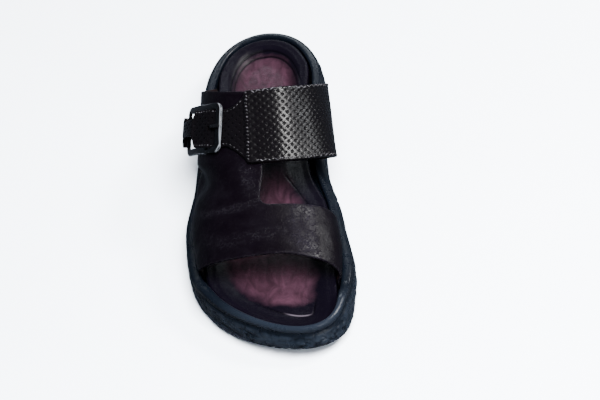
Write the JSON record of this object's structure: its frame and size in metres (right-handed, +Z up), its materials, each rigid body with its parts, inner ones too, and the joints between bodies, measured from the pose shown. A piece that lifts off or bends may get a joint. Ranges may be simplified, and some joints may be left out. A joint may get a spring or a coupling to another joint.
{
  "type": "slipper",
  "caption": "Slide sandal with a moulded footbed, a leather vamp band and an instep strap closed by a pin buckle on a textured rubber cup sole.",
  "frame": {"origin": "middle of the bounding box in X and Y, on the floor that the sole rests on", "axes": "Z up, toe towards -Y, heel towards +Y, medial side of the right foot towards +X"},
  "size_m": [0.1111, 0.288, 0.0952],
  "materials": {
    "black_rubber": "matte moulded rubber with a rocky texture on the side wall",
    "brown_leather": "polished burgundy brown leather, darker at the edges",
    "vamp_leather": "burnished dark burgundy leather with a soft sheen",
    "woven_leather": "near-black leather embossed with a diagonal basket weave",
    "strap_leather": "near-black smooth leather",
    "black_metal": "gloss black metal",
    "dark_metal": "dark plated metal"
  },
  "bodies": {
    "root": {"outsole": "black_rubber", "footbed": "brown_leather", "upper": "vamp_leather", "instep_strap": "woven_leather", "buckle_anchor": "strap_leather", "buckle_frame": "black_metal", "buckle_prong": "dark_metal"}
  },
  "joints": []
}
